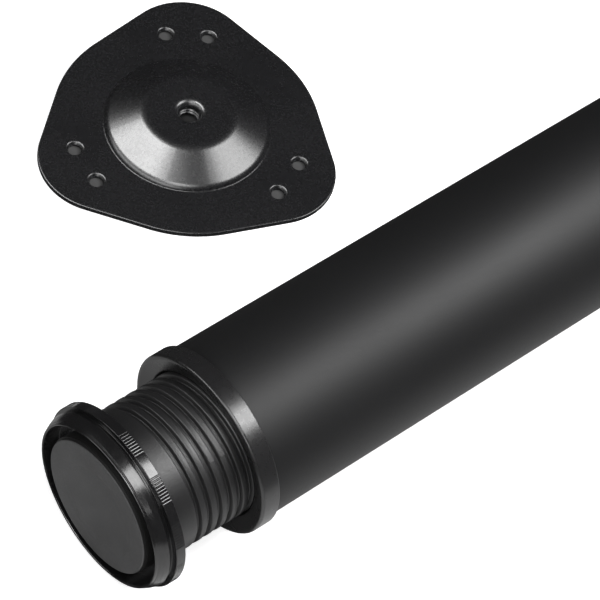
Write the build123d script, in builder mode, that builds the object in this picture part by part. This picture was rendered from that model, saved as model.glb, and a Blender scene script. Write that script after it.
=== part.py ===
from build123d import *

import os
from math import acos, asin, ceil, cos, degrees, radians, sin

# Height adjustable table leg, lying down as it is set out before fitting.
# The leg's axis is the X axis, with the sole of its foot at x = 0 and the tube towards +X.
# Z is up, and the origin is the centre of the sole.
# The mounting plate has been taken off the top and lies flat beside the foot, towards +Y.
# All sizes are in millimetres.

# Tube
tube_diameter = 60.0
tube_wall = 1.2
tube_length = 690.0
tube_edge_break = 0.3

# Distance between the foot's rim and the collar, as the leg lies here
foot_gap = 29.7

# Foot, screwed in and out of the collar by its knurled rim
foot_overhang = 1.2
foot_height = 9.9
lip_setback = 0.5
lip_width = 0.9
lip_shadow_width = 0.4
lip_shadow_setback = 0.3
ring_width = 4.2
recess_depth = 6.2
web_thickness = 3.2
ring_crown = 3.4
rim_width = 3.5
rim_edge_break = 0.35
groove_width = 1.0
groove_depth = 0.8

# Knurled grips on the foot's rim
knurl_groups = 10
knurl_notches = 9
knurl_start_deg = 9.0
knurl_pitch_deg = 2.15
knurl_width = 0.55
knurl_depth = 0.45

# Coarse screw on the foot's hollow stem
stem_wall = 4.8
stem_length = 60.0
neck_length = 7.8
thread_pitch = 4.0
thread_start_deg = 200.0
thread_depth = 1.5
thread_root_gap = 0.9
thread_mouth_gap = 1.9
thread_overrun = 0.5

# Threaded collar, pressed into the lower end of the tube
collar_overhang = 1.4
collar_flange = 6.7
collar_sleeve = 30.0
collar_sleeve_wall = 3.6
collar_front_round = 1.1
collar_rear_break = 0.3
collar_land = 0.4
collar_dish_width = 3.4
collar_dish_depth = 1.2
collar_mouth_depth = 1.0
collar_fit_clearance = 0.05
collar_bore_clearance = 0.35
thread_clearance = 0.2
thread_end_margin = 1.0

# Sole, and the carrier that the foot turns on
pad_gap = 3.3
pad_thickness = 1.3
pad_edge_round = 0.4
pad_dish_diameter = 31.0
pad_dish_slope = 1.6
pad_dish_depth = 0.25
carrier_setback = 0.15
carrier_gap = 0.3
pivot_diameter = 12.0
pivot_clearance = 0.06
pivot_bore_diameter = 7.0
pivot_head_overhang = 0.9
pivot_head_gap = 0.2
pivot_head_length = 2.6
pivot_head_lead = 1.6
pivot_slot_width = 1.6
pivot_slot_depth = 6.0

# Plug in the tube's upper end, with the bolt that the mounting plate screws on to
plug_setback = 8.0
plug_face = 8.0
plug_length = 22.0
plug_skirt_wall = 3.0
plug_edge_break = 0.6
plug_hub_diameter = 24.0
plug_fit_clearance = 0.05
bolt_diameter = 8.0
bolt_shank_diameter = 7.2
bolt_reach = 8.0
bolt_tip_break = 1.0
bolt_head_across_flats = 13.0
bolt_head_height = 5.3
bolt_clearance = 0.05

# Mounting plate, pressed from steel sheet
plate_sheet = 2.0
plate_middle_diameter = 93.0
plate_corners = 3
plate_corner_diameter = 45.0
plate_corner_offset = 33.0
plate_edge_break = 0.3
boss_clearance = 0.3
boss_seat_width = 5.0
boss_step_height = 2.0
boss_step_run = 0.7
boss_height = 7.5
boss_flat_diameter = 31.0
boss_foot_round = 1.2
boss_step_round = 1.6
boss_flat_round = 4.0
neck_bore_diameter = 6.8
neck_wall = 1.8
neck_depth = 4.0
neck_entry_round = 1.2
screw_circle_diameter = 81.5
screw_pair_spacing = 15.0
screw_hole_diameter = 4.5
screw_countersink_diameter = 6.4
screw_countersink_deg = 90.0

# Where the plate lies beside the leg
plate_along = 132.2
plate_beside = 117.9
plate_turn_deg = 52.0

# Places along the leg's axis and radii about it
tube_radius = tube_diameter / 2
tube_bore_radius = tube_radius - tube_wall
foot_radius = tube_radius + foot_overhang
recess_radius = foot_radius - ring_width
collar_radius = tube_radius + collar_overhang
collar_sleeve_radius = tube_bore_radius - collar_fit_clearance
collar_bore_radius = collar_sleeve_radius - collar_sleeve_wall
stem_radius = collar_bore_radius - collar_bore_clearance
thread_root_radius = stem_radius - thread_depth
stem_end = foot_height + stem_length
thread_start = foot_height + neck_length
web_front = lip_setback + recess_depth
web_back = web_front + web_thickness
collar_front = foot_height + foot_gap
tube_start = collar_front + collar_flange
tube_end = tube_start + tube_length
collar_end = tube_start + collar_sleeve
carrier_back = web_front - carrier_gap
plug_front = tube_end - plug_setback
resting_height = -max(foot_radius, collar_radius)


def polar(radius, deg, middle=(0, 0)):
    """A point in a sketch at a radius and an angle about a middle."""
    return (middle[0] + radius * cos(radians(deg)), middle[1] + radius * sin(radians(deg)))


def thread_gap_at(radius):
    """Width along the axis of the foot's thread groove at a radius."""
    slope = (thread_mouth_gap - thread_root_gap) / thread_depth
    return thread_root_gap + slope * (radius - thread_root_radius)


def helical_bar(start, end, inner_radius, outer_radius, gap_clearance):
    """A bar that follows the foot's thread groove, right-handed about the leg's axis."""
    inner_width = thread_gap_at(inner_radius) - 2 * gap_clearance
    outer_width = thread_gap_at(outer_radius) - 2 * gap_clearance
    height = outer_radius - inner_radius
    with BuildPart() as bar:
        with BuildLine() as path:
            Helix(thread_pitch, end - start, inner_radius, center=(start, 0, 0), direction=(1, 0, 0))
        first_point = path.line @ 0
        outward = (0, first_point.Y, first_point.Z)
        with BuildSketch(Plane(origin=first_point, x_dir=outward, z_dir=path.line % 0)):
            with BuildLine():
                Polyline(
                    (0, -inner_width / 2),
                    (height, -outer_width / 2),
                    (height, outer_width / 2),
                    (0, inner_width / 2),
                    close=True,
                )
            make_face()
        sweep(path=path.line, is_frenet=True)
    return bar.part.rotate(Axis.X, thread_start_deg)


# Tube
with BuildPart() as tube:
    with BuildSketch(Plane.YZ.offset(tube_start)):
        Circle(tube_radius)
        Circle(tube_bore_radius, mode=Mode.SUBTRACT)
    extrude(amount=tube_length)
    chamfer(tube.faces().filter_by(Axis.X).edges(), tube_edge_break)
tube.part.label = "tube"

# Foot, one moulding: lipped ring, knurled rim and hollow threaded stem
pivot_hole_radius = pivot_diameter / 2 + pivot_clearance
stem_bore_radius = stem_radius - stem_wall
lip_radius = lip_width / 2
lip_back = lip_setback + lip_radius
shadow_radius = recess_radius + lip_width + lip_shadow_width
shadow_place = lip_back + lip_shadow_setback
crown_place = lip_setback + ring_crown
rim_start = foot_height - rim_width
groove_start = rim_start - groove_width
stem_blank_end = stem_end + 2 * thread_pitch
foot_thread = helical_bar(
    thread_start,
    stem_end + thread_pitch,
    thread_root_radius,
    stem_radius + thread_overrun,
    0,
)
with BuildPart() as foot:
    with BuildSketch(Plane.XY):
        with BuildLine():
            Polyline(
                (lip_back, recess_radius),
                (web_front, recess_radius),
                (web_front, pivot_hole_radius),
                (web_back, pivot_hole_radius),
                (web_back, stem_bore_radius),
                (stem_blank_end, stem_bore_radius),
                (stem_blank_end, stem_radius),
                (foot_height, stem_radius),
                (foot_height, foot_radius - rim_edge_break),
                (foot_height - rim_edge_break, foot_radius),
                (rim_start, foot_radius),
            )
            ThreePointArc(
                (rim_start, foot_radius),
                (rim_start - groove_width / 2, foot_radius - groove_depth),
                (groove_start, foot_radius),
            )
            Line((groove_start, foot_radius), (crown_place, foot_radius))
            EllipticalCenterArc(
                (crown_place, shadow_radius),
                crown_place - shadow_place,
                foot_radius - shadow_radius,
                start_angle=90,
                arc_size=90,
            )
            Line((shadow_place, shadow_radius), (lip_back, recess_radius + lip_width))
            ThreePointArc(
                (lip_back, recess_radius + lip_width),
                (lip_setback, recess_radius + lip_radius),
                (lip_back, recess_radius),
            )
        make_face()
    revolve(axis=Axis.X)
    add(foot_thread, mode=Mode.SUBTRACT)
    split(bisect_by=Plane.YZ.offset(stem_end), keep=Keep.BOTTOM)
    with BuildSketch(Plane.YZ.offset(rim_start)):
        for group in range(knurl_groups):
            group_start = knurl_start_deg + group * 360 / knurl_groups
            with PolarLocations(foot_radius, knurl_notches, group_start, knurl_notches * knurl_pitch_deg):
                Rectangle(2 * knurl_depth, knurl_width)
    extrude(amount=rim_width, mode=Mode.SUBTRACT)
foot.part.label = "adjuster_foot"

# Collar, with the inside thread that the foot runs in
land_outer = collar_radius - collar_front_round
land_inner = land_outer - collar_land
dish_inner = land_inner - collar_dish_width
dish_floor = collar_front + collar_dish_depth
mouth_end = dish_floor + collar_mouth_depth
ridge_earliest = max(mouth_end, thread_start + foot_gap) + thread_end_margin
pitches_to_ridge = ceil((ridge_earliest - thread_start) / thread_pitch)
collar_thread = helical_bar(
    thread_start + pitches_to_ridge * thread_pitch,
    collar_end - thread_end_margin,
    thread_root_radius + thread_clearance,
    collar_bore_radius + thread_overrun,
    thread_clearance,
)
with BuildPart() as collar:
    with BuildSketch(Plane.XY):
        with BuildLine():
            Polyline(
                (collar_front + collar_front_round, collar_radius),
                (tube_start - collar_rear_break, collar_radius),
                (tube_start, collar_radius - collar_rear_break),
                (tube_start, collar_sleeve_radius),
                (collar_end, collar_sleeve_radius),
                (collar_end, collar_bore_radius),
                (mouth_end, collar_bore_radius),
                (dish_floor, dish_inner),
                (collar_front, land_inner),
                (collar_front, land_outer),
            )
            RadiusArc(
                (collar_front, land_outer),
                (collar_front + collar_front_round, collar_radius),
                collar_front_round,
            )
        make_face()
    revolve(axis=Axis.X)
    add(collar_thread)
collar.part.label = "threaded_collar"

# Carrier of the sole, snapped through the foot's web so that the foot can turn on it
pad_radius = recess_radius - pad_gap
pivot_radius = pivot_diameter / 2
pivot_head_start = web_back + pivot_head_gap
pivot_end = pivot_head_start + pivot_head_length
with BuildPart() as carrier:
    with BuildSketch(Plane.XY):
        with BuildLine():
            Polyline(
                (pad_thickness, 0),
                (pad_thickness, pad_radius - carrier_setback),
                (carrier_back, pad_radius - carrier_setback),
                (carrier_back, pivot_radius),
                (pivot_head_start, pivot_radius),
                (pivot_head_start, pivot_radius + pivot_head_overhang),
                (pivot_end - pivot_head_lead, pivot_radius + pivot_head_overhang),
                (pivot_end, pivot_radius),
                (pivot_end, pivot_bore_diameter / 2),
                (pivot_end - pivot_slot_depth, pivot_bore_diameter / 2),
                (pivot_end - pivot_slot_depth, 0),
                close=True,
            )
        make_face()
    revolve(axis=Axis.X)
    with BuildSketch(Plane.YZ.offset(pivot_end)):
        slot_reach = 2 * (pivot_radius + pivot_head_overhang)
        Rectangle(slot_reach, pivot_slot_width)
        Rectangle(pivot_slot_width, slot_reach)
    extrude(amount=-pivot_slot_depth, mode=Mode.SUBTRACT)
carrier.part.label = "glide_carrier"

# Sole, a disc with a shallow dished middle
with BuildPart() as pad:
    with BuildSketch(Plane.XY):
        with BuildLine():
            Polyline(
                (pad_edge_round, pad_radius),
                (pad_thickness, pad_radius),
                (pad_thickness, 0),
                (pad_dish_depth, 0),
                (pad_dish_depth, pad_dish_diameter / 2 - pad_dish_slope / 2),
                (0, pad_dish_diameter / 2 + pad_dish_slope / 2),
                (0, pad_radius - pad_edge_round),
            )
            RadiusArc((0, pad_radius - pad_edge_round), (pad_edge_round, pad_radius), pad_edge_round)
        make_face()
    revolve(axis=Axis.X)
pad.part.label = "glide_pad"

# Plug in the tube's upper end
plug_radius = tube_bore_radius - plug_fit_clearance
plug_back = plug_front - plug_length
plug_floor = plug_front - plug_face
hub_end = plug_floor - bolt_head_height
bolt_radius = bolt_diameter / 2
with BuildPart() as plug:
    with BuildSketch(Plane.XY):
        with BuildLine():
            Polyline(
                (plug_front, bolt_radius + bolt_clearance),
                (plug_front, plug_radius - plug_edge_break),
                (plug_front - plug_edge_break, plug_radius),
                (plug_back, plug_radius),
                (plug_back, plug_radius - plug_skirt_wall),
                (plug_floor, plug_radius - plug_skirt_wall),
                (plug_floor, plug_hub_diameter / 2),
                (hub_end, plug_hub_diameter / 2),
                (hub_end, bolt_radius + bolt_clearance),
                close=True,
            )
        make_face()
    revolve(axis=Axis.X)
    with BuildSketch(Plane.YZ.offset(hub_end)):
        RegularPolygon(bolt_head_across_flats / 2 + bolt_clearance, 6, major_radius=False)
    extrude(amount=bolt_head_height, mode=Mode.SUBTRACT)
plug.part.label = "top_plug"

# Bolt held in the plug by its head
with BuildPart() as bolt:
    with BuildSketch(Plane.YZ.offset(hub_end)):
        RegularPolygon(bolt_head_across_flats / 2, 6, major_radius=False)
    extrude(amount=bolt_head_height)
    with BuildSketch(Plane.YZ.offset(plug_floor)):
        Circle(bolt_shank_diameter / 2)
    extrude(amount=plug_face)
    with BuildSketch(Plane.YZ.offset(plug_front)):
        Circle(bolt_radius)
    extrude(amount=bolt_reach)
    chamfer(bolt.edges().sort_by(Axis.X)[-1], bolt_tip_break)
bolt.part.label = "plate_bolt"

# Mounting plate: three-cornered flange, stepped boss that centres the tube, and threaded neck
plate_middle = (plate_along, plate_beside, resting_height)
plate_turn = radians(plate_turn_deg)
plate_plane = Plane(origin=plate_middle, x_dir=(cos(plate_turn), sin(plate_turn), 0), z_dir=(0, 0, 1))
section_plane = Plane(origin=plate_middle, x_dir=plate_plane.x_dir, z_dir=-plate_plane.y_dir)
middle_radius = plate_middle_diameter / 2
corner_radius = plate_corner_diameter / 2
corner_step_deg = 360 / plate_corners
tangent_deg = degrees(acos((middle_radius - corner_radius) / plate_corner_offset))
middle_arc_deg = corner_step_deg - 2 * tangent_deg
boss_radius = tube_bore_radius - boss_clearance
boss_line_radius = boss_radius - plate_sheet / 2
boss_foot_radius = boss_line_radius + boss_step_run
boss_seat_radius = boss_radius + boss_seat_width
sheet_middle = plate_sheet / 2
boss_line_top = sheet_middle + boss_height
boss_underside = boss_height
boss_face = boss_height + plate_sheet
neck_bore_radius = neck_bore_diameter / 2
screw_circle_radius = screw_circle_diameter / 2
screw_pair_deg = 2 * degrees(asin(screw_pair_spacing / screw_circle_diameter))
with BuildPart() as plate:
    with BuildSketch(plate_plane):
        with BuildLine():
            for corner in range(plate_corners):
                corner_deg = corner * corner_step_deg
                corner_middle = polar(plate_corner_offset, corner_deg)
                corner_start = polar(corner_radius, corner_deg - tangent_deg, corner_middle)
                corner_finish = polar(corner_radius, corner_deg + tangent_deg, corner_middle)
                bulge_start = polar(middle_radius, corner_deg + tangent_deg)
                bulge_finish = polar(middle_radius, corner_deg + tangent_deg + middle_arc_deg)
                bulge_before = polar(middle_radius, corner_deg - tangent_deg)
                Line(bulge_before, corner_start)
                CenterArc(corner_middle, corner_radius, corner_deg - tangent_deg, 2 * tangent_deg)
                Line(corner_finish, bulge_start)
                CenterArc((0, 0), middle_radius, corner_deg + tangent_deg, middle_arc_deg)
        make_face()
        Circle(boss_seat_radius, mode=Mode.SUBTRACT)
    extrude(amount=plate_sheet)
    sheet_faces = plate.faces().filter_by(Axis.Z)
    chamfer([face.outer_wire().edges() for face in sheet_faces], plate_edge_break)
    with BuildSketch(section_plane) as section:
        with BuildLine():
            FilletPolyline(
                (boss_seat_radius, sheet_middle),
                (boss_foot_radius, sheet_middle),
                (boss_line_radius, sheet_middle + boss_step_height),
                (boss_flat_diameter / 2, boss_line_top),
                (neck_bore_radius, boss_line_top),
                radius=(boss_foot_round, boss_step_round, boss_flat_round),
            )
        trace(line_width=plate_sheet)
        with BuildLine():
            Polyline(
                (neck_bore_radius, boss_face - plate_sheet / 2),
                (neck_bore_radius, boss_underside - neck_depth),
                (neck_bore_radius + neck_wall, boss_underside - neck_depth),
                (neck_bore_radius + neck_wall, boss_face - plate_sheet / 2),
                close=True,
            )
        make_face()
        entry_corner = section.vertices().sort_by_distance((neck_bore_radius, boss_face))[0]
        fillet(entry_corner, neck_entry_round)
    revolve(axis=Axis(plate_middle, (0, 0, 1)))
    with Locations(plate_plane.offset(plate_sheet)):
        for side_deg in (-screw_pair_deg / 2, screw_pair_deg / 2):
            with PolarLocations(screw_circle_radius, plate_corners, side_deg):
                CounterSinkHole(
                    screw_hole_diameter / 2,
                    screw_countersink_diameter / 2,
                    plate_sheet,
                    screw_countersink_deg,
                )
plate.part.label = "mounting_plate"

os.makedirs("parts", exist_ok=True)
export_step(tube.part, "parts/tube.step")
export_step(foot.part, "parts/adjuster_foot.step")
export_step(collar.part, "parts/threaded_collar.step")
export_step(carrier.part, "parts/glide_carrier.step")
export_step(pad.part, "parts/glide_pad.step")
export_step(plug.part, "parts/top_plug.step")
export_step(bolt.part, "parts/plate_bolt.step")
export_step(plate.part, "parts/mounting_plate.step")
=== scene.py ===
"""Dresses the packed table leg: its tube, its screw foot with collar and sole, and its mounting plate."""

from math import acos, asin, atan2, ceil, cos, degrees, pi, radians, sin, tan
from types import SimpleNamespace
import bmesh
import bpy
from bpy.props import FloatProperty, FloatVectorProperty, IntProperty, PointerProperty
from mathutils import Matrix, Vector


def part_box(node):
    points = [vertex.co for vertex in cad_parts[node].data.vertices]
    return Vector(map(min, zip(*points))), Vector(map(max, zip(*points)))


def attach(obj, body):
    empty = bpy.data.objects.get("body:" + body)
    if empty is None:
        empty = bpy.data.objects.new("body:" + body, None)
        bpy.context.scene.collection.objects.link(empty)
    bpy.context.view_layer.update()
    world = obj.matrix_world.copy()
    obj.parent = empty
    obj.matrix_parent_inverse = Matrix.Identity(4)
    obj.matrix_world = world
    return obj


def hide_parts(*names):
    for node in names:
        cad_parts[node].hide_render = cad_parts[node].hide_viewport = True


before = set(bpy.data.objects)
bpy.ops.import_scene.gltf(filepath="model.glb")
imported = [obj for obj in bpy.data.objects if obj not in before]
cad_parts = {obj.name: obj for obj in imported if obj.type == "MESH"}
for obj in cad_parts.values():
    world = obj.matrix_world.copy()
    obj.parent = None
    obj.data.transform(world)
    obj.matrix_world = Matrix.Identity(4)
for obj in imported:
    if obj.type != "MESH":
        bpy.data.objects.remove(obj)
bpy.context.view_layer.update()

bl_info = {
    "name": "Adjustable Table Leg",
    "version": (1, 0, 0),
    "blender": (4, 5, 0),
    "location": "3D View > Sidebar > Table Leg",
    "description": "Dresses a table leg with a screw foot, beside its mounting plate",
    "category": "Object",
}

MM = 0.001
FULL_TURN = 2 * pi
FRAME_BOXES = {name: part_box(name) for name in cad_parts}

# Fineness of the meshes
TUBE_COLUMNS = 256
STEM_COLUMNS = 240
DISC_COLUMNS = 192
BOLT_COLUMNS = 96
SHEET_COLUMNS = 96
HOLE_COLUMNS = 48
BLOCK_COLUMNS = 6
DISH_STEPS = 8
CORNER_ARC_STEPS = 32
SIDE_ARC_STEPS = 24
STRAIGHT_STEPS = 6
PLAIN_RIM_STEP_DEG = 1.4
CORNER_STEP_DEG = 14
SHARP_EDGE_DEG = 34
WELD_DISTANCE = 2e-6

# Places along the round lip of the foot, as shares of its half circle
LIP_PARTS = (0.15, 0.3, 0.5, 0.7, 0.85)

# Side of a notch in the rim, inwards: share of the pitch from its middle, share of its depth
NOTCH_SIDE = ((0.43, 0.007), (0.33, 0.04), (0.23, 0.10), (0.15, 0.18), (0.11, 0.5), (0.06, 1.0))

# Soft side of the coarse groove, inwards: millimetres beyond its mouth's or root's edge, share of its depth
MOUTH_SIDE = ((0.85, 0.0), (0.45, 0.015), (0.16, 0.05), (-0.04, 0.16))
ROOT_SIDE = ((0.10, 0.90), (-0.12, 1.0))

# Rounded edge of the plate: millimetres below its face, millimetres inside its outline
PLATE_EDGE = ((0.0, 0.45), (0.06, 0.2), (0.2, 0.06), (0.45, 0.0))

# Lamps: name, stretch along the leg, stretch across it, height or None for a card on the floor, brightness
# as a share of the soft boxes' setting, and whether it lights dull surfaces or only shows in glossy ones
LAMPS = (
    ("box_above_tube", (0.385, 1.455), (-0.75, -0.17), 1.0, 1.45, True),
    ("box_above_foot", (-0.63, -0.13), (-0.60, -0.08), 1.0, 1.1, True),
    ("box_left_of_plate", (-0.45, -0.14), (0.05, 1.4), 1.0, 2.4, False),
    ("strip_before_foot", (-1.0, -0.45), (-0.9, 1.1), 0.5, 0.6, False),
    ("card_beside_tube", (0.045, 1.6), (-0.11, -0.012), None, 0.09, False),
    ("card_behind_foot", (-0.03, 0.046), (0.012, 0.10), None, 0.05, False),
    ("card_before_foot", (-0.07, 0.045), (-0.18, -0.03), None, 0.09, False),
)

# Height of the cards and of the dark sheet that paints shade under the plate above the floor, and that
# sheet's margin
CARD_LIFT = 0.1 * MM
SHADE_LIFT = 0.02 * MM
SHADE_MARGIN = 4 * MM

CAMERA_PLACE = (-0.3655, -0.3616, 0.8218)
CAMERA_RIGHT = (0.7657, -0.6280, 0.1392)
CAMERA_FORWARD = (0.4570, 0.3787, -0.8048)
CAMERA_CLIP = (0.01, 100.0)


def box_span(node, axis):
    """Lowest and highest millimetre of a CAD node along an axis."""
    low, high = FRAME_BOXES[node]
    return low[axis] / MM, high[axis] / MM


def box_width(node, axis):
    """Millimetres that a CAD node measures along an axis."""
    low, high = box_span(node, axis)
    return high - low


def number(name, default, description, kind=FloatProperty, **options):
    """A property with its name, default and description."""
    return kind(name=name, description=description, default=default, **options)


def length(name, millimetres, description):
    """A length property."""
    return number(name, millimetres * MM, description, min=0, unit="LENGTH", precision=5)


def place(name, millimetres, description):
    """A position property, which can be below zero."""
    return number(name, millimetres * MM, description, unit="LENGTH", precision=5)


def angle(name, deg, description):
    """An angle property."""
    return number(name, radians(deg), description, subtype="ANGLE")


def share(name, amount, description):
    """A property between nothing and all."""
    return number(name, amount, description, min=0, max=1, subtype="FACTOR")


def colour(name, level, description):
    """A colour property."""
    return number(name, level, description, FloatVectorProperty, min=0, max=1, subtype="COLOR")


class TubeSizes(bpy.types.PropertyGroup):
    """Sizes of the tube."""

    start: place("Start", box_span("tube", 0)[0], "Where the tube starts")
    end: place("End", box_span("tube", 0)[1], "Where the tube ends")
    diameter: length("Diameter", box_width("tube", 1), "Outside diameter of the tube")
    wall: length("Wall", 1.2, "Thickness of the tube's wall")
    edge_round: length("Edge round", 0.3, "Radius on the tube's edges")


class FootSizes(bpy.types.PropertyGroup):
    """Sizes of the foot."""

    diameter: length("Diameter", box_width("adjuster_foot", 1), "Outside diameter of the foot")
    stem_end: place("Stem end", box_span("adjuster_foot", 0)[1], "Where the threaded stem ends")
    front: place("Front", box_span("adjuster_foot", 0)[0], "Where the foot's lip starts")
    height: length("Height", 9.9, "From the sole to the rim's back")
    ring_width: length("Ring width", 3.6, "From the recess to the outside of the foot")
    crown_drop: length("Crown drop", 1.1, "How far the crown lies below the rim")
    groove_width: length("Groove width", 1.7, "Width of the groove between crown and rim")
    groove_depth: length("Groove depth", 1.0, "Depth of the groove below the crown")
    recess_depth: length("Recess depth", 6.2, "Depth of the sole's recess")
    web: length("Web", 3.2, "Thickness of the web across the stem")
    rim_width: length("Rim width", 3.5, "Width of the knurled rim")
    stem_diameter: length("Stem diameter", 49.6, "Diameter over the thread")
    stem_wall: length("Stem wall", 4.8, "Thickness of the stem's wall")
    pivot_diameter: length("Pivot hole", 12.12, "Diameter of the hole for the sole's carrier")
    knurl_groups: number("Grips", 12, "Groups of notches around the rim", IntProperty, min=1)
    knurl_notches: number("Notches", 9, "Notches in a grip", IntProperty, min=1)
    knurl_start: angle("First notch", 26.3, "Turn of the first notch")
    knurl_pitch: angle("Notch pitch", 1.87, "Turn from one notch to the next")
    knurl_depth: length("Notch depth", 0.45, "Depth of a notch")
    stop_turn: angle("Stop", 129.0, "Turn where the pads beside the groove end")
    stop_place: place("Stop place", 31.82, "Place of the groove between the pads")
    tick_turn: angle("Ticks", 99.0, "Turn of the stem's first fine mark")
    tick_place: place("Tick place", 21.5, "Place of the first fine mark")


class ThreadSizes(bpy.types.PropertyGroup):
    """Sizes of the coarse screw between foot and collar."""

    pitch: length("Pitch", 4.0, "Advance of the foot for a full turn")
    depth: length("Depth", 1.5, "Depth of the groove in the stem")
    root_gap: length("Root gap", 0.9, "Width of the groove at its bottom")
    mouth_gap: length("Mouth gap", 1.9, "Width of the groove at its mouth")
    start: place("Start", 17.7, "Where the groove starts")
    start_turn: angle("Start turn", 290.0, "Turn at which the groove starts")
    clearance: length("Clearance", 0.2, "Space between groove and ridge")
    ridge_start: place("Ridge start", 49.7, "Where the collar's ridge starts")


class CollarSizes(bpy.types.PropertyGroup):
    """Sizes of the threaded collar."""

    front: place("Front", box_span("threaded_collar", 0)[0], "Where the collar's flange starts")
    diameter: length("Diameter", box_width("threaded_collar", 1), "Outside diameter of the flange")
    sleeve: length("Sleeve", 30.0, "Length of the sleeve inside the tube")
    bore: length("Bore", 50.3, "Diameter of the bore")
    dish_width: length("Dish width", 4.3, "Width of the sloping face")
    dish_depth: length("Dish depth", 1.2, "Depth of the sloping face")


class SoleSizes(bpy.types.PropertyGroup):
    """Sizes of the sole."""

    diameter: length("Diameter", 46.2, "Diameter of the sole")
    thickness: length("Thickness", box_width("glide_pad", 0), "Thickness of the sole")
    dish_diameter: length("Dish diameter", 31.0, "Diameter of the shallow dish")
    dish_slope: length("Dish slope", 3.0, "Width of the dish's soft edge")
    dish_depth: length("Dish depth", 0.25, "Depth of the dish")


class BoltSizes(bpy.types.PropertyGroup):
    """Sizes of the bolt in the tube's upper end."""

    diameter: length("Diameter", 8.0, "Diameter over the thread")
    pitch: length("Pitch", 1.25, "Pitch of the thread")
    free_length: length("Free length", 8.0, "Length that stands out of the plug")
    shank_diameter: length("Shank diameter", 7.2, "Diameter of the plain shank")
    across_flats: length("Across flats", box_width("plate_bolt", 2), "Size of the hexagon head")
    head_height: length("Head height", 5.3, "Height of the hexagon head")


class PlateSizes(bpy.types.PropertyGroup):
    """Sizes and place of the mounting plate."""

    along: place("Along", 132.2, "Place of the plate's middle along the leg")
    beside: place("Beside", 117.9, "Place of the plate's middle beside the leg")
    base: place("Base", box_span("mounting_plate", 2)[0], "Height of the plate's underside")
    turn: angle("Turn", 52.0, "Turn of the plate about its middle")
    sheet: length("Sheet", 2.0, "Thickness of the steel sheet")
    middle_diameter: length("Middle diameter", 93.0, "Diameter of the sides' wide arcs")
    corner_diameter: length("Corner diameter", 45.0, "Diameter of the corners' arcs")
    corner_offset: length("Corner offset", 33.0, "From the plate's middle to the corners' middles")
    boss_diameter: length("Boss diameter", 57.0, "Diameter of the boss that centres the tube")
    boss_height: length("Boss height", 7.5, "Rise of the boss")
    boss_flat: length("Boss flat", 31.0, "Diameter of the boss's flat middle")
    neck_bore: length("Neck bore", 6.8, "Inside diameter of the threaded neck")
    neck_wall: length("Neck wall", 1.8, "Wall of the threaded neck")
    neck_depth: length("Neck depth", 4.0, "Reach of the neck under the boss")
    neck_draw: length("Neck draw", 2.6, "Radius of the neck's drawn edge")
    boss_step: length("Boss step", 1.6, "Height of the steep step round the boss")
    screw_circle: length("Screw circle", 81.5, "Diameter of the screw holes' circle")
    screw_pair: length("Screw pair", 15.0, "Distance between the holes of a pair")
    screw_hole: length("Screw hole", 4.5, "Diameter of a screw hole")
    countersink: length("Countersink", 6.4, "Diameter of a countersink")


class Finishes(bpy.types.PropertyGroup):
    """Colours and gloss."""

    coat_colour: colour("Tube coat", (0.0056, 0.0056, 0.0061), "Powder coat of the tube")
    coat_roughness: share("Tube roughness", 0.55, "Roughness of the tube's powder coat")
    plate_colour: colour("Plate coat", (0.0080, 0.0080, 0.0088), "Coat of the mounting plate")
    plate_roughness: share("Plate roughness", 0.27, "Roughness of the plate's coat")
    foot_colour: colour("Foot", (0.0095, 0.0093, 0.0098), "Plastic of the foot")
    collar_colour: colour("Collar", (0.0150, 0.0147, 0.0153), "Plastic of the collar")
    foot_roughness: share("Foot roughness", 0.20, "Roughness of the foot's ring and rim")
    collar_roughness: share("Collar roughness", 0.29, "Roughness of the collar")
    stem_roughness: share("Stem roughness", 0.46, "Roughness of the foot's scuffed stem")
    sole_colour: colour("Sole", (0.052, 0.052, 0.053), "Plastic of the sole")
    inner_colour: colour("Inner plastic", (0.003, 0.003, 0.003), "Plastic of carrier and plug")
    steel_colour: colour("Bolt", (0.60, 0.60, 0.62), "Zinc plating of the bolt")


class StageSizes(bpy.types.PropertyGroup):
    """Floor, lights and camera."""

    lens: number("Lens", 191.3, "Focal length in millimetres", min=1)
    floor_radius: length("Floor radius", 4000.0, "Radius of the round floor")
    floor_colour: colour("Floor", (0.92, 0.92, 0.92), "Colour of the floor")
    sky_strength: number("Sky", 0.03, "Strength of the even light", min=0)
    box_radiance: number("Soft boxes", 8.0, "Brightness of the soft boxes", min=0)
    floor_glow: number("Floor glow", 0.75, "Brightness of the lit floor", min=0)


def sizes(name, group):
    """A pointer to a group of properties."""
    return PointerProperty(type=group, name=name, description=group.__doc__)


class LegSettings(bpy.types.PropertyGroup):
    """All settings of the table leg."""

    tube: sizes("Tube", TubeSizes)
    foot: sizes("Foot", FootSizes)
    thread: sizes("Thread", ThreadSizes)
    collar: sizes("Collar", CollarSizes)
    sole: sizes("Sole", SoleSizes)
    bolt: sizes("Bolt", BoltSizes)
    plate: sizes("Plate", PlateSizes)
    finish: sizes("Finishes", Finishes)
    stage: sizes("Stage", StageSizes)


def in_mm(group):
    """A group's lengths in millimetres."""
    return SimpleNamespace(**{name: getattr(group, name) / MM for name in type(group).__annotations__})


# Shader nodes


class Value:
    """A shader socket that can stand in sums."""

    def __init__(self, finish, socket):
        self.finish = finish
        self.socket = socket

    def maths(self, operation, *operands):
        return self.finish.node("ShaderNodeMath", {"operation": operation}, dict(enumerate(operands)))

    def __add__(self, other):
        return self.maths("ADD", self, other)

    def __radd__(self, other):
        return self.maths("ADD", other, self)

    def __sub__(self, other):
        return self.maths("SUBTRACT", self, other)

    def __rsub__(self, other):
        return self.maths("SUBTRACT", other, self)

    def __mul__(self, other):
        return self.maths("MULTIPLY", self, other)

    def __rmul__(self, other):
        return self.maths("MULTIPLY", other, self)


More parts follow.
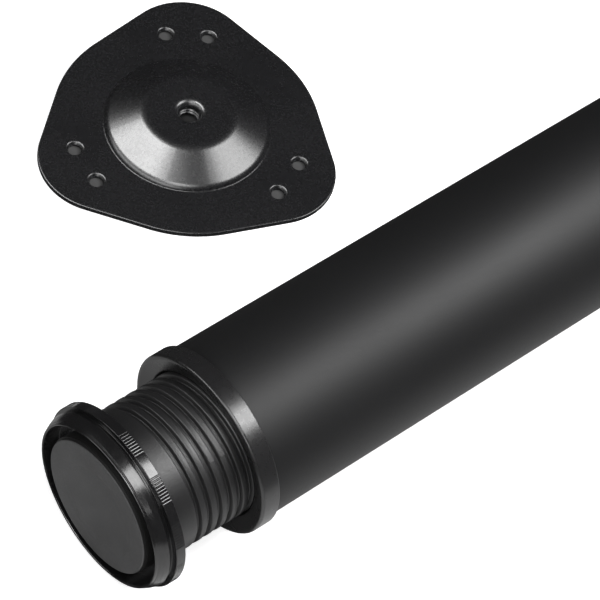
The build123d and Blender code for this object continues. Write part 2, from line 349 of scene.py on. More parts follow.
class Finish:
    """A material that is put together from nodes."""

    def __init__(self, name):
        self.material = bpy.data.materials.new(name)
        self.material.use_nodes = True
        self.tree = self.material.node_tree
        self.tree.nodes.clear()
        self.place = self.node("ShaderNodeTexCoord", {}, {}, "Object")

    def node(self, kind, settings, inputs, out=0):
        """Adds a node with its settings and the values or links of its inputs, and gives an output."""
        node = self.tree.nodes.new(kind)
        for name, value in settings.items():
            setattr(node, name, value)
        for key, value in inputs.items():
            if isinstance(value, Value):
                self.tree.links.new(value.socket, node.inputs[key])
            else:
                node.inputs[key].default_value = value
        return Value(self, node.outputs[out]) if node.outputs else None

    def along(self):
        """Place along the leg's axis."""
        return self.node("ShaderNodeSeparateXYZ", {}, {0: self.place}, "X")

    def noise(self, size_mm, detail=2.0, roughness=0.5, distortion=0.0):
        """A noise whose lumps are about the given size."""
        inputs = {"Vector": self.place, "Scale": 1 / (size_mm * MM)}
        inputs |= {"Detail": detail, "Roughness": roughness, "Distortion": distortion}
        return self.node("ShaderNodeTexNoise", {}, inputs)

    def cells(self, size_mm):
        """Distance to the nearest of many scattered points."""
        inputs = {"Vector": self.place, "Scale": 1 / (size_mm * MM)}
        return self.node("ShaderNodeTexVoronoi", {}, inputs, "Distance")

    def rise(self, value, low, high):
        """Goes from nothing to one between two values, held at its ends."""
        return self.node("ShaderNodeMapRange", {}, {"Value": value, "From Min": low, "From Max": high})

    def shades(self, factor, tone, darker, lighter):
        """A colour that runs from a darker to a lighter shade of a tone."""
        inputs = {0: factor}
        for key, times in ((6, darker), (7, lighter)):
            inputs[key] = (*(min(1.0, channel * times) for channel in tone), 1.0)
        return self.node("ShaderNodeMix", {"data_type": "RGBA"}, inputs, 2)

    def bump(self, height, depth_mm, strength=1.0, normal=None):
        """A bumped normal from a height between nothing and one."""
        inputs = {"Height": height, "Distance": depth_mm * MM, "Strength": strength}
        if normal is not None:
            inputs["Normal"] = normal
        return self.node("ShaderNodeBump", {}, inputs)

    def surface(self, **inputs):
        """Ends the material with a principled shader."""
        named = {key.replace("_", " "): value for key, value in inputs.items()}
        shader = self.node("ShaderNodeBsdfPrincipled", {}, named)
        self.node("ShaderNodeOutputMaterial", {}, {"Surface": shader})
        return self.material


def coat_finish(look):
    """Satin powder coat: fine orange peel with slight unevenness of gloss."""
    coat = Finish("tube_coat")
    grain = coat.noise(0.45, detail=3.0, roughness=0.6)
    peel = coat.noise(2.2)
    patches = coat.noise(60.0, detail=3.0)
    normal = coat.bump(grain, 0.035, 0.55)
    return coat.surface(
        Base_Color=coat.shades(patches, look.coat_colour, 0.9, 1.12),
        Roughness=look.coat_roughness + (grain - 0.5) * 0.14 + (patches - 0.5) * 0.08,
        Normal=coat.bump(peel, 0.02, 0.4, normal), IOR=1.5,
    )


def plate_finish(look):
    """Satin-gloss coat over pressed sheet."""
    coat = Finish("plate_coat")
    peel = coat.noise(1.1)
    wave = coat.noise(14.0)
    patches = coat.noise(35.0, detail=3.0)
    normal = coat.bump(peel, 0.012, 0.5)
    return coat.surface(
        Base_Color=coat.shades(patches, look.plate_colour, 0.85, 1.25),
        Roughness=look.plate_roughness + (peel - 0.5) * 0.08 + (patches - 0.5) * 0.07,
        Normal=coat.bump(wave, 0.05, 0.35, normal), IOR=1.62,
    )


def moulding_finish(name, tone, dullness, scuffed_from=None, scuffed=0.0):
    """Black moulded plastic, glossy, but scuffed from a place along the leg's axis."""
    plastic = Finish(name)
    mottle = plastic.noise(1.6, detail=4.0, roughness=0.65)
    fine = plastic.noise(0.35)
    flow = plastic.noise(18.0, detail=3.0, distortion=0.6)
    normal = plastic.bump(fine, 0.006, 0.5)
    normal = plastic.bump(mottle, 0.010, 0.5, normal)
    roughness = dullness + (mottle - 0.5) * 0.14 + (flow - 0.5) * 0.08
    if scuffed_from is not None:
        share_scuffed = plastic.rise(plastic.along(), (scuffed_from - 0.3) * MM, (scuffed_from + 0.3) * MM)
        grit = plastic.noise(0.55, detail=3.0, roughness=0.75)
        specks = plastic.rise(grit, 0.56, 0.66)
        rough = scuffed + (flow - 0.5) * 0.2 - specks * 0.14
        roughness = roughness + (rough - roughness) * share_scuffed
        normal = plastic.bump(grit * share_scuffed, 0.07, 1.0, normal)
    return plastic.surface(
        Base_Color=plastic.shades(flow, tone, 0.8, 1.3), Roughness=roughness, Normal=normal, IOR=1.68
    )


def sole_finish(look):
    """Fine-grained dark grey plastic, with painted shade on its side."""
    sole = Finish("pad")
    # Share of the sole's face: it falls to nothing on the side, which paints shade on the side
    face = sole.rise(sole.along(), 0.45 * MM, 0.25 * MM)
    grain = sole.noise(0.3, detail=3.0, roughness=0.7)
    speck = sole.cells(0.55)
    cloud = sole.noise(9.0, detail=3.0)
    # Grain, specks and cloud are the plastic's own tone; times the face share, the side also gets painted
    # shade
    tone = (grain * 0.6 + speck * 0.25 + cloud * 0.3) * face
    return sole.surface(
        Base_Color=sole.shades(tone, look.sole_colour, 0.12, 1.7),
        Roughness=0.62 + (grain - 0.5) * 0.2,
        Normal=sole.bump(grain, 0.06), IOR=1.5,
    )


def inner_finish(name, look):
    """Dull black plastic of parts that are mostly hidden."""
    plastic = Finish(name)
    grain = plastic.noise(0.5, detail=3.0)
    cloud = plastic.noise(8.0)
    return plastic.surface(
        Base_Color=plastic.shades(cloud, look.inner_colour, 0.8, 1.4),
        Roughness=0.55 + (grain - 0.5) * 0.2,
        Normal=plastic.bump(grain, 0.02, 0.6), IOR=1.5,
    )


def steel_finish(look):
    """Zinc-plated steel with a faint crystal mottling."""
    steel = Finish("bolt_steel")
    crystals = steel.cells(1.1)
    film = steel.noise(2.5, detail=4.0)
    return steel.surface(
        Base_Color=steel.shades(film, look.steel_colour, 0.8, 1.1),
        Roughness=0.3 + crystals * 0.1 + (film - 0.5) * 0.12,
        Normal=steel.bump(film, 0.01, 0.4), Metallic=1.0,
    )


# Mesh building


def polar(turn, radius):
    """A flat point from its turn and radius."""
    return Vector((cos(turn), sin(turn))) * radius


def on_leg(along, radius, turn):
    """A point along the leg's axis and out from it, with its turn from +Y towards +Z."""
    return Vector((along, radius * cos(turn), radius * sin(turn))) * MM


def even_turns(count, first=0.0):
    """Turns spread evenly over a circle."""
    return [first + FULL_TURN * number / count for number in range(count)]


def spread(first, last, steps):
    """Evenly spread numbers with both ends."""
    return [first + (last - first) * number / steps for number in range(steps + 1)]


def rounded(*corners, step_deg=CORNER_STEP_DEG):
    """Points of a profile from (along, radius, round) corners, with round 0 at both ends."""
    points = []
    for index, (along, radius, size) in enumerate(corners):
        corner = Vector((along, radius))
        if size == 0:
            points.append(corner)
            continue
        before = (Vector(corners[index - 1][:2]) - corner).normalized()
        after = (Vector(corners[index + 1][:2]) - corner).normalized()
        half = acos(max(-1.0, min(1.0, before.dot(after)))) / 2
        centre = corner + (before + after).normalized() * size / sin(half)
        first = corner + before * size / tan(half) - centre
        last = corner + after * size / tan(half) - centre
        sweep = pi - 2 * half
        steps = max(2, ceil(degrees(sweep) / step_deg))
        for done in spread(0.0, sweep, steps):
            points.append(centre + (first * sin(sweep - done) + last * sin(done)) / sin(sweep))
    return points


def beside(points, distance):
    """A profile moved by a distance to the left of its run."""
    moved = []
    for index, point in enumerate(points):
        before = points[max(index - 1, 0)]
        after = points[min(index + 1, len(points) - 1)]
        run = (after - before).normalized()
        moved.append(point + Vector((-run.y, run.x)) * distance)
    return moved


def ease(amount):
    """A soft step from nothing to one."""
    held = min(max(amount, 0.0), 1.0)
    return held * held * (3 - 2 * held)


def between(table, position):
    """Reads a table of (position, value) pairs, nothing outside its ends."""
    for (first, low), (second, high) in zip(table, table[1:]):
        if first <= position <= second:
            return low + (high - low) * (position - first) / (second - first)
    return 0.0


def both_sides(half):
    """A table of both sides, from the pairs of one side, outermost first."""
    return [*((-offset, value) for offset, value in half), *half[::-1]]


def add_object(name, data):
    """Puts a new object into the scene."""
    piece = bpy.data.objects.new(name, data)
    bpy.context.scene.collection.objects.link(piece)
    return piece


class Skin:
    """Collects the faces of one piece and makes its object."""

    def __init__(self):
        self.mesh = bmesh.new()

    def ring(self, points):
        return [self.mesh.verts.new(point) for point in points]

    def face(self, corners):
        """Adds a face without its doubled corners."""
        different = list(dict.fromkeys(corners))
        if len(different) > 2:
            self.mesh.faces.new(different)

    def band(self, first, second):
        """Joins two rings of as many points."""
        for index, corner in enumerate(first):
            after = (index + 1) % len(first)
            self.face((corner, first[after], second[after], second[index]))

    def bands(self, rings):
        """Joins rings one after another."""
        for first, second in zip(rings, rings[1:]):
            self.band(first, second)

    def turned(self, profile, turns, point=on_leg):
        """Turns a profile about an axis and gives its first and last ring."""
        rings = [self.ring([point(along, radius, turn) for turn in turns]) for along, radius in profile]
        self.bands(rings)
        return rings[0], rings[-1]

    def stitch(self, first, first_turns, second, second_turns):
        """Joins two rings whose points are at different turns."""
        steps = []
        corners = []
        for which, turns in enumerate((first_turns, second_turns)):
            order = sorted((turn % FULL_TURN, which, index) for index, turn in enumerate(turns))
            corners.append((first, second)[which][order[0][2]])
            steps += [*order[1:], (order[0][0] + FULL_TURN, *order[0][1:])]
        for _, which, index in sorted(steps):
            corner = (first, second)[which][index]
            self.face((*corners, corner))
            corners[which] = corner

    def screw(self, wall, radius, section, pitch, turns, middle, helix, fade=0.5, point=on_leg):
        """A round wall with a groove or ridge along a right-hand helix. Gives its end rings.

        section is the change of radius by the distance from the helix, which is at middle at the first turn.
        The helix fades in after its start and out before its end.
        """
        low, high = wall
        start, end = helix
        below = ceil((middle - low) / pitch) + 1
        above = ceil((high - middle) / pitch) + 1
        columns = []
        for index, turn in enumerate(turns):
            part = index / len(turns)
            levels = [low]
            for number in range(-below, above + 1):
                here = middle + pitch * (number + part)
                levels += [here + offset for offset, _ in section]
            levels.append(high)
            column = []
            for level in levels:
                along = min(max(level, low), high)
                nearest = middle + pitch * (round((along - middle) / pitch - part) + part)
                strength = ease((nearest - start) / fade) * ease((end - nearest) / fade)
                change = between(section, along - nearest) * strength
                column.append(self.mesh.verts.new(point(along, radius + change, turn)))
            columns.append(column)
        last = len(columns[0]) - 1
        for index, column in enumerate(columns):
            shift = len(section) if index == len(columns) - 1 else 0
            after = columns[(index + 1) % len(columns)]
            twins = [after[0]] + [after[min(row + shift, last)] for row in range(1, last + 1)]
            for row in range(last):
                self.face((column[row], column[row + 1], twins[row + 1], twins[row]))
        return [column[0] for column in columns], [column[last] for column in columns]

    def curved_block(self, along, inner, outer, turns, lean):
        """A block on a round wall that rises evenly and moves along by lean for each radian."""
        rows = []
        for turn, reach in zip(spread(*turns, BLOCK_COLUMNS), spread(*outer, BLOCK_COLUMNS)):
            shift = lean * (turn - sum(turns) / 2)
            corners = ((along[0], inner), (along[1], inner), (along[1], reach), (along[0], reach))
            rows.append(self.ring([on_leg(spot + shift, radius, turn) for spot, radius in corners]))
        self.bands(rows)
        self.face(rows[0])
        self.face(rows[-1][::-1])

    def object(self, name):
        """Ends the mesh and gives it an object."""
        bmesh.ops.remove_doubles(self.mesh, verts=self.mesh.verts, dist=WELD_DISTANCE)
        bmesh.ops.recalc_face_normals(self.mesh, faces=self.mesh.faces)
        mesh = bpy.data.meshes.new(name)
        self.mesh.to_mesh(mesh)
        self.mesh.free()
        return add_object(name, mesh)


def dress(piece, body, material, nodes=(), edge_round=0):
    """Gives a piece its shading, finish and body, and hides the CAD nodes it stands for."""
    if edge_round:
        bevel = piece.modifiers.new("edge_round", "BEVEL")
        bevel.width = edge_round * MM
        bevel.segments = 3
        bevel.limit_method = "ANGLE"
    piece.data.shade_smooth()
    piece.data.set_sharp_from_angle(angle=radians(SHARP_EDGE_DEG))
    weighted = piece.modifiers.new("weighted_normals", "WEIGHTED_NORMAL")
    weighted.keep_sharp = True
    piece.data.materials.append(material)
    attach(piece, body)
    if nodes:
        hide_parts(*nodes)


def paint_node(node, material):
    """Gives a CAD node a better material."""
    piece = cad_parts[node]
    piece.data.materials.clear()
    piece.data.materials.append(material)


def thread_section(thread, clearance=0.0):
    """The section of the stem's groove or of the collar's ridge."""
    root = thread.root_gap / 2 - clearance
    mouth = thread.mouth_gap / 2 - clearance
    half = [(mouth + offset, -thread.depth * part) for offset, part in MOUTH_SIDE]
    half += [(root + offset, -thread.depth * part) for offset, part in ROOT_SIDE]
    return both_sides(half)


class LEG_OT_tube(bpy.types.Operator):
    """Build the tube with its powder coat"""

    bl_idname = "table_leg.tube"
    bl_label = "Build tube"

    def execute(self, context):
        settings = context.scene.table_leg
        tube = in_mm(settings.tube)
        outer = tube.diameter / 2
        inner = outer - tube.wall
        edge = tube.edge_round
        in_plain_wall = (tube.start + 5, outer, 0)
        profile = rounded(
            in_plain_wall, (tube.end, outer, edge), (tube.end, inner, edge),
            (tube.start, inner, edge), (tube.start, outer, edge), in_plain_wall,
        )
        skin = Skin()
        skin.turned(profile, even_turns(TUBE_COLUMNS))
        dress(skin.object("tube_shell"), "leg", coat_finish(settings.finish), ["tube"])
        return {"FINISHED"}


class LEG_OT_collar(bpy.types.Operator):
    """Build the collar with its inside thread"""

    bl_idname = "table_leg.collar"
    bl_label = "Build collar"

    def execute(self, context):
        settings = context.scene.table_leg
        collar = in_mm(settings.collar)
        tube = in_mm(settings.tube)
        thread = in_mm(settings.thread)
        play_in_tube = 0.05
        flat_width = 1.5
        mouth_step = 0.5
        outer = collar.diameter / 2
        bore = collar.bore / 2
        sleeve = tube.diameter / 2 - tube.wall - play_in_tube
        end = tube.start + collar.sleeve
        dish_outer = outer - flat_width
        dish_floor = collar.front + collar.dish_depth
        mouth = dish_floor + mouth_step
        wall = (mouth + 0.6, end)
        turns = even_turns(STEM_COLUMNS, settings.thread.start_turn)
        profile = rounded(
            (end, bore, 0), (end, sleeve, 0.4),
            (tube.start, sleeve, 0), (tube.start, outer, 0.3),
            (collar.front, outer, 1.1), (collar.front, dish_outer, 0.25),
            (dish_floor, dish_outer - collar.dish_width, 0.5), (mouth, bore, 0.4), (wall[0], bore, 0),
        )
        skin = Skin()
        sleeve_end, mouth_ring = skin.turned(profile, turns)
        section = thread_section(thread, thread.clearance)
        helix = (thread.ridge_start, end - 1.0)
        wall_start, wall_end = skin.screw(wall, bore, section, thread.pitch, turns, thread.start, helix)
        skin.band(mouth_ring, wall_start)
        skin.band(wall_end, sleeve_end)
        look = settings.finish
        material = moulding_finish("collar_plastic", look.collar_colour, look.collar_roughness)
        dress(skin.object("collar_moulding"), "leg", material, ["threaded_collar"])
        return {"FINISHED"}


def rim_notches(foot):
    """Turns of the rim's points, each with how deep it is in a notch."""
    steps = both_sides(NOTCH_SIDE)
    turns = []
    for group_start in even_turns(foot.knurl_groups, foot.knurl_start):
        for notch in range(foot.knurl_notches):
            middle = group_start + notch * foot.knurl_pitch
            turns += [(middle + part * foot.knurl_pitch, depth) for part, depth in steps]
        plain_start = turns[-1][0]
        plain_end = group_start + FULL_TURN / foot.knurl_groups + steps[0][0] * foot.knurl_pitch
        count = ceil((plain_end - plain_start) / radians(PLAIN_RIM_STEP_DEG))
        turns += [(turn, 0.0) for turn in spread(plain_start, plain_end, count)[1:-1]]
    return turns


def stop_pads(foot, lean, last_turn):
    """Two pads that rise beside the groove up to a turn."""
    stem = foot.stem_diameter / 2
    rise = (stem - 0.05, stem + 0.22)
    turns = (last_turn - radians(16), last_turn)
    skin = Skin()
    for low, high in ((-2.9, -1.1), (1.1, 2.9)):
        land = (foot.stop_place + low, foot.stop_place + high)
        skin.curved_block(land, stem - 0.4, rise, turns, lean)
    return skin.object("thread_stop")


def stem_marks(foot, lean, first_turn):
    """Six fine ticks on the stem."""
    stem = foot.stem_diameter / 2
    top = stem + 0.07
    step, width = radians(3.4), radians(0.7)
    half_length = 0.6
    skin = Skin()
    for number in range(6):
        turn = first_turn + number * step
        spot = foot.tick_place + lean * (turn - first_turn)
        span = (spot - half_length, spot + half_length)
        skin.curved_block(span, stem - 0.3, (top, top), (turn, turn + width), 0)
    return skin.object("stem_marks")


class LEG_OT_foot(bpy.types.Operator):
    """Build the foot: lipped ring, knurled rim and threaded stem"""

    bl_idname = "table_leg.foot"
    bl_label = "Build foot"

    def execute(self, context):
        settings = context.scene.table_leg
        foot = in_mm(settings.foot)
        thread = in_mm(settings.thread)
        look = settings.finish
        material = moulding_finish(
            "foot_plastic", look.foot_colour, look.foot_roughness, foot.height, look.stem_roughness
        )
        outer = foot.diameter / 2
        recess = outer - foot.ring_width
        stem = foot.stem_diameter / 2
        bore = stem - foot.stem_wall
        pivot = foot.pivot_diameter / 2
        web_front = foot.front + foot.recess_depth
        web_back = web_front + foot.web
        web_seam = (recess - 1.0, recess - 2.0)

        lip = 0.45
        lip_back = foot.front + lip
        crown_start = lip_back + 0.55
        crown_foot = recess + 1.25
        crown_top = outer - foot.crown_drop
        rim_start = foot.height - foot.rim_width
        crown_end = rim_start - foot.groove_width
        groove_floor = crown_top - foot.groove_depth
        rim_foot = outer - foot.knurl_depth - 0.2

        ring = rounded((web_front, web_seam[0], 0), (web_front, recess, 0.3), (lip_back, recess, 0))
        for part in LIP_PARTS:
            ring.append(Vector((lip_back - lip * sin(part * pi), recess + lip - lip * cos(part * pi))))
        ring += rounded(
            (lip_back, recess + 2 * lip, 0), (crown_start - 0.2, recess + 0.95, 0.15),
            (crown_start, crown_foot, 0.2), (crown_start + 1.6, crown_foot + 0.75, 3.0),
            (crown_end, crown_top, 0.35), (crown_end + 0.5, groove_floor, 0.4),
            (rim_start - 0.12, groove_floor, 0.2), (rim_start, rim_foot, 0),
            step_deg=8,
        )
        rim = rounded(
            (rim_start, rim_foot, 0), (rim_start, outer, 0.25),
            (foot.height, outer, 0.35), (foot.height, outer - 2.0, 0),
        )

        def on_rim(along, radius, notch):
            turn, depth = notch
            return on_leg(along, min(radius, outer - depth * foot.knurl_depth), turn)

        skin = Skin()
        plain_turns = even_turns(STEM_COLUMNS)
        ring_inside, ring_outside = skin.turned(ring, plain_turns)
        notches = rim_notches(settings.foot)
        rim_turns = [turn for turn, _ in notches]
        rim_front, rim_back = skin.turned(rim, notches, on_rim)
        skin.stitch(ring_outside, plain_turns, rim_front, rim_turns)

        turns = even_turns(STEM_COLUMNS, settings.thread.start_turn)
        wall = (foot.height, foot.stem_end)
        helix = (thread.start, foot.stem_end + 3 * thread.pitch)
        section = thread_section(thread)
        neck, stem_tip = skin.screw(wall, stem, section, thread.pitch, turns, thread.start, helix)
        inside = rounded(
            (foot.stem_end, stem, 0), (foot.stem_end, bore, 0.3),
            (web_back, bore, 0.5), (web_back, pivot, 0.2),
            (web_front, pivot, 0.2), (web_front, web_seam[1], 0),
        )
        # The stem's flat end also closes the mouth of its groove
        inner_start, inner_end = skin.turned(inside, turns)
        skin.band(stem_tip, inner_start)
        skin.stitch(ring_inside, plain_turns, inner_end, turns)
        skin.stitch(rim_back, rim_turns, neck, turns)
        dress(skin.object("foot_moulding"), "foot", material, ["adjuster_foot"])

        pads = stop_pads(foot, thread.pitch / FULL_TURN, settings.foot.stop_turn)
        dress(pads, "foot", material, edge_round=0.15)
        marks = stem_marks(foot, thread.pitch / FULL_TURN, settings.foot.tick_turn)
        dress(marks, "foot", material, edge_round=0.05)
        return {"FINISHED"}


class LEG_OT_sole(bpy.types.Operator):
    """Build the sole and finish its carrier"""

    bl_idname = "table_leg.sole"
    bl_label = "Build sole"

    def execute(self, context):
        settings = context.scene.table_leg
        sole = in_mm(settings.sole)
        outer = sole.diameter / 2
        dish_end = (sole.dish_diameter + sole.dish_slope) / 2
        dish_start = (sole.dish_diameter - sole.dish_slope) / 2
        profile = [Vector((sole.dish_depth, 0.0))]
        for step, radius in enumerate(spread(dish_start, dish_end, DISH_STEPS)):
            profile.append(Vector((sole.dish_depth * (1 - ease(step / DISH_STEPS)), radius)))
        profile += rounded(
            (0.0, dish_end + 1.0, 0), (0.0, outer, 0.4),
            (sole.thickness, outer, 0.1), (sole.thickness, 0.0, 0),
        )
        skin = Skin()
        skin.turned(profile, even_turns(DISC_COLUMNS))
        dress(skin.object("sole_disc"), "glide", sole_finish(settings.finish), ["glide_pad"])
        paint_node("glide_carrier", inner_finish("carrier_plastic", settings.finish))
        return {"FINISHED"}


class LEG_OT_top(bpy.types.Operator):
    """Build the bolt and finish its plug"""

    bl_idname = "table_leg.top"
    bl_label = "Build top"

    def execute(self, context):
        settings = context.scene.table_leg
        bolt = in_mm(settings.bolt)
        pitch = bolt.pitch
        head_start, tip = box_span("plate_bolt", 0)
        head_end = head_start + bolt.head_height
        thread_start = tip - bolt.free_length
        outer = bolt.diameter / 2
        shank = bolt.shank_diameter / 2
        bevel = 1.0
        cut = -0.61 * pitch
        section = both_sides([(0.46 * pitch, 0.0), (0.08 * pitch, cut + 0.05)])
        section.insert(2, (0.0, cut))
        turns = even_turns(BOLT_COLUMNS)
        wall = (thread_start, tip - bevel)
        helix = (thread_start + 0.3 * pitch, tip + 2.0)
        skin = Skin()
        middle = thread_start + 0.4 * pitch
        wall_start, wall_end = skin.screw(wall, outer, section, pitch, turns, middle, helix, 0.3)
        lower = ((head_end, 0.0), (head_end, shank), (thread_start, shank), (thread_start, outer))
        upper = rounded((tip - bevel, outer, 0), (tip, outer - bevel, 0.25), (tip, 0.0, 0))
        skin.band(skin.turned(lower, turns)[1], wall_start)
        skin.band(wall_end, skin.turned(upper, turns)[0])
        corner = bolt.across_flats / 2 / cos(radians(30))
        head = ((head_start, 0.0), (head_start, corner), (head_end, corner), (head_end, 0.0))
        skin.turned(head, even_turns(6, radians(30)))
        material = steel_finish(settings.finish)
        dress(skin.object("bolt_threaded"), "leg", material, ["plate_bolt"])
        paint_node("top_plug", inner_finish("plug_plastic", settings.finish))
        return {"FINISHED"}


def plate_outline(plate):
    """Points of the three-cornered outline, in order about the middle."""
    wide = plate.middle_diameter / 2
    narrow = plate.corner_diameter / 2
    tangent = acos((wide - narrow) / plate.corner_offset)
    arcs = []
    for towards in even_turns(3):
        centre = polar(towards, plate.corner_offset)
        corner = spread(towards - tangent, towards + tangent, CORNER_ARC_STEPS)
        side = spread(towards + tangent, towards + FULL_TURN / 3 - tangent, SIDE_ARC_STEPS)
        arcs.append([centre + polar(turn, narrow) for turn in corner])
        arcs.append([polar(turn, wide) for turn in side])
    points = []
    for arc, following in zip(arcs, arcs[1:] + arcs[:1]):
        points += arc
        for step in range(1, STRAIGHT_STEPS):
            points.append(arc[-1].lerp(following[0], step / STRAIGHT_STEPS))
    return points


def with_holes(solid, plate, on_plate):
    """Cuts the countersunk screw holes and gives the cut piece."""
    half_pair = asin(plate.screw_pair / plate.screw_circle)
    hole = plate.screw_hole / 2
    sink = plate.countersink / 2
    top = plate.sheet
    profile = rounded(
        (-1.0, 0.0, 0), (-1.0, hole + 0.2, 0),
        (0.0, hole + 0.2, 0), (0.2, hole, 0.1),
        (top - 1.0, hole, 0.2), (top - 0.22, sink - 0.35, 0.7),
        (top + 0.05, sink + 0.25, 0), (top + 1.0, sink + 0.25, 0), (top + 1.0, 0.0, 0),
    )
    skin = Skin()
    for towards in even_turns(3):
        for side in (-half_pair, half_pair):
            centre = polar(towards + side, plate.screw_circle / 2)

            def at_hole(height, radius, turn):
                spot = centre + polar(turn, radius)
                return on_plate(height, spot.length, atan2(spot.y, spot.x))

            skin.turned(profile, even_turns(HOLE_COLUMNS), at_hole)
    cutter = skin.object("hole_cutter")
    cut = solid.modifiers.new("holes", "BOOLEAN")
    cut.operation = "DIFFERENCE"
    cut.solver = "EXACT"
    cut.object = cutter
    graph = bpy.context.evaluated_depsgraph_get()
    mesh = bpy.data.meshes.new_from_object(solid.evaluated_get(graph))
    mesh.name = "plate_pressing"
    mesh.materials.clear()
    bpy.data.objects.remove(solid)
    bpy.data.objects.remove(cutter)
    return add_object("plate_pressing", mesh)


class LEG_OT_plate(bpy.types.Operator):
    """Build the mounting plate with its boss, neck and holes"""

    bl_idname = "table_leg.plate"
    bl_label = "Build mounting plate"

    def execute(self, context):
        settings = context.scene.table_leg
        plate = in_mm(settings.plate)
        middle = Vector((plate.along, plate.beside, plate.base))

        def on_plate(height, radius, turn):
            flat = polar(turn + settings.plate.turn, radius)
            return (middle + Vector((*flat, height))) * MM

        def on_edge(height, inset, point):
            return on_plate(height, point.length - inset, atan2(point.y, point.x))

        outline = plate_outline(plate)
        turns = [atan2(point.y, point.x) for point in outline]
        seat = plate.boss_diameter / 2 + 5.0
        sheet = plate.sheet
        half_sheet = sheet / 2
        bore = plate.neck_bore / 2
        neck_outer = bore + plate.neck_wall
        draw_end = bore + plate.neck_draw + 0.6
        boss_top = half_sheet + plate.boss_height
        line = rounded(
            (half_sheet, seat, 0), (half_sheet, plate.boss_diameter / 2 - 0.1, 1.4),
            (half_sheet + plate.boss_step, plate.boss_diameter / 2 - half_sheet, 3.4),
            (boss_top, plate.boss_flat / 2, 6.0), (boss_top, draw_end, 0),
            step_deg=3,
        )
        upper = beside(line, half_sheet)
        lower = beside(line, -half_sheet)
        face = plate.boss_height + sheet
        neck_end = plate.boss_height - plate.neck_depth
        thread_end = face - plate.neck_draw - 0.1
        entry = rounded((face, draw_end, 0), (face, bore, plate.neck_draw), (thread_end, bore, 0), step_deg=6)
        neck = rounded(
            (neck_end, bore, 0), (neck_end, neck_outer, 0.3),
            (plate.boss_height, neck_outer, 0.8), (plate.boss_height, draw_end, 0),
        )

        skin = Skin()
        first, last = skin.turned(upper + entry, turns, on_plate)
        wall = (neck_end, thread_end)
        section = both_sides([(0.45, 0.0), (0.1, 0.5)])
        pitch = in_mm(settings.bolt).pitch
        helix = (neck_end + 0.3, face - 1.0)
        wall_start, wall_end = skin.screw(wall, bore, section, pitch, turns, neck_end, helix, 0.4, on_plate)
        skin.band(last, wall_end)
        below_start, below_end = skin.turned(neck + lower[::-1], turns, on_plate)
        skin.band(wall_start, below_start)

        rows = [(sheet, 4.0), (sheet, 0.9)] + [(sheet - drop, inset) for drop, inset in PLATE_EDGE]
        rows += [*PLATE_EDGE[::-1], (0.0, 4.0)]
        edge_start, edge_end = skin.turned(rows, outline, on_edge)
        skin.band(first, edge_start)
        skin.band(edge_end, below_end)
        piece = with_holes(skin.object("plate_solid"), plate, on_plate)
        dress(piece, "leg", plate_finish(settings.finish), ["mounting_plate"])
        return {"FINISHED"}


def sheet_of_paper(name, middle, radius, height, material):
    """A round flat sheet on the stage: the paper floor, or the dark sheet that paints shade under the plate.
    """
    flat = [Vector(middle) + polar(turn, radius) for turn in even_turns(SHEET_COLUMNS)]
    mesh = bpy.data.meshes.new(name)
    mesh.from_pydata([(*point, height) for point in flat], [], [range(SHEET_COLUMNS)])
    mesh.materials.append(material)
    sheet = add_object(name, mesh)
    return sheet


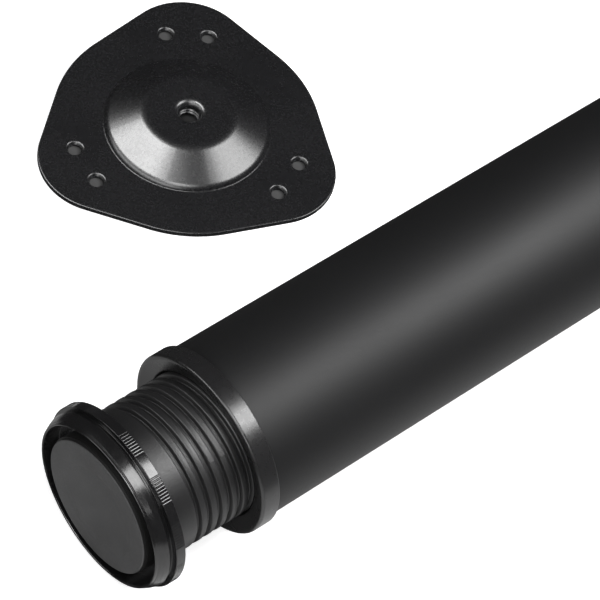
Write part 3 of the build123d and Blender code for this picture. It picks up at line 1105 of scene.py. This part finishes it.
class LEG_OT_stage(bpy.types.Operator):
    """Set up the floor, the lights and the camera"""

    bl_idname = "table_leg.stage"
    bl_label = "Set up stage"

    def execute(self, context):
        settings = context.scene.table_leg.stage
        plate = context.scene.table_leg.plate
        scene = context.scene
        paper = Finish("paper")
        white = paper.surface(
            Base_Color=paper.shades(paper.noise(400.0), settings.floor_colour, 0.99, 1.0),
            Roughness=0.95, Emission_Color=(1.0, 1.0, 1.0, 1.0), Emission_Strength=settings.floor_glow,
        )
        height = box_span("mounting_plate", 2)[0] * MM
        floor = sheet_of_paper("floor", (0.0, 0.0), settings.floor_radius, height, white)
        floor.visible_glossy = False
        # A dark sheet under the plate paints the shade seen through its holes, where the glowing floor would
        # show white
        shade = Finish("shade_under_plate").surface(Base_Color=(0.07, 0.07, 0.07, 1.0), Roughness=0.9)
        reach = plate.screw_circle / 2 + SHADE_MARGIN
        sheet_of_paper("shade_under_plate", (plate.along, plate.beside), reach, height + SHADE_LIFT, shade)

        world = bpy.data.worlds.new("studio")
        world.use_nodes = True
        background = world.node_tree.nodes["Background"].inputs
        background["Color"].default_value = (1.0, 1.0, 1.0, 1.0)
        background["Strength"].default_value = settings.sky_strength
        scene.world = world

        for name, along, across, above, brightness, lights_dull in LAMPS:
            light = bpy.data.lights.new(name, "AREA")
            light.shape = "RECTANGLE"
            light.size = along[1] - along[0]
            light.size_y = across[1] - across[0]
            light.energy = brightness * settings.box_radiance * pi * light.size * light.size_y
            lamp = add_object(name, light)
            lamp.location = (sum(along) / 2, sum(across) / 2, above or height + CARD_LIFT)
            lamp.visible_diffuse = lights_dull
            if above is None:
                lamp.rotation_euler = (pi, 0.0, 0.0)
        lit = bpy.data.collections.new("lit_by_left_box")
        lit.objects.link(bpy.data.objects["plate_pressing"])
        bpy.data.objects["box_left_of_plate"].light_linking.receiver_collection = lit

        camera = bpy.data.cameras.new("camera")
        camera.lens = settings.lens
        camera.clip_start, camera.clip_end = CAMERA_CLIP
        viewer = add_object("camera", camera)
        forward = Vector(CAMERA_FORWARD).normalized()
        up = Vector(CAMERA_RIGHT).cross(forward).normalized()
        turned = Matrix((forward.cross(up), up, -forward)).transposed().to_4x4()
        viewer.matrix_world = Matrix.Translation(CAMERA_PLACE) @ turned
        scene.camera = viewer
        scene.view_settings.view_transform = "Standard"
        return {"FINISHED"}


class LEG_PT_panel(bpy.types.Panel):
    """Lists what the table leg is built from"""

    bl_idname = "LEG_PT_panel"
    bl_label = "Table Leg"
    bl_space_type = "VIEW_3D"
    bl_region_type = "UI"
    bl_category = "Table Leg"

    def draw(self, context):
        for builder in BUILDERS:
            self.layout.operator(builder.bl_idname)
        for group in LegSettings.__annotations__:
            box = self.layout.box()
            box.label(text=group.capitalize())
            shown = getattr(context.scene.table_leg, group)
            for name in type(shown).__annotations__:
                box.prop(shown, name)


BUILDERS = (LEG_OT_tube, LEG_OT_collar, LEG_OT_foot, LEG_OT_sole, LEG_OT_top, LEG_OT_plate, LEG_OT_stage)
SIZES = (TubeSizes, FootSizes, ThreadSizes, CollarSizes, SoleSizes, BoltSizes, PlateSizes, StageSizes)
KINDS = (*SIZES, Finishes, LegSettings, *BUILDERS, LEG_PT_panel)


def register():
    for kind in KINDS:
        bpy.utils.register_class(kind)
    bpy.types.Scene.table_leg = PointerProperty(type=LegSettings)


def unregister():
    del bpy.types.Scene.table_leg
    for kind in reversed(KINDS):
        bpy.utils.unregister_class(kind)


def main():
    """Builds every piece and the stage."""
    register()
    for builder in BUILDERS:
        group, name = builder.bl_idname.split(".")
        getattr(getattr(bpy.ops, group), name)()


if __name__ == "__main__":
    main()
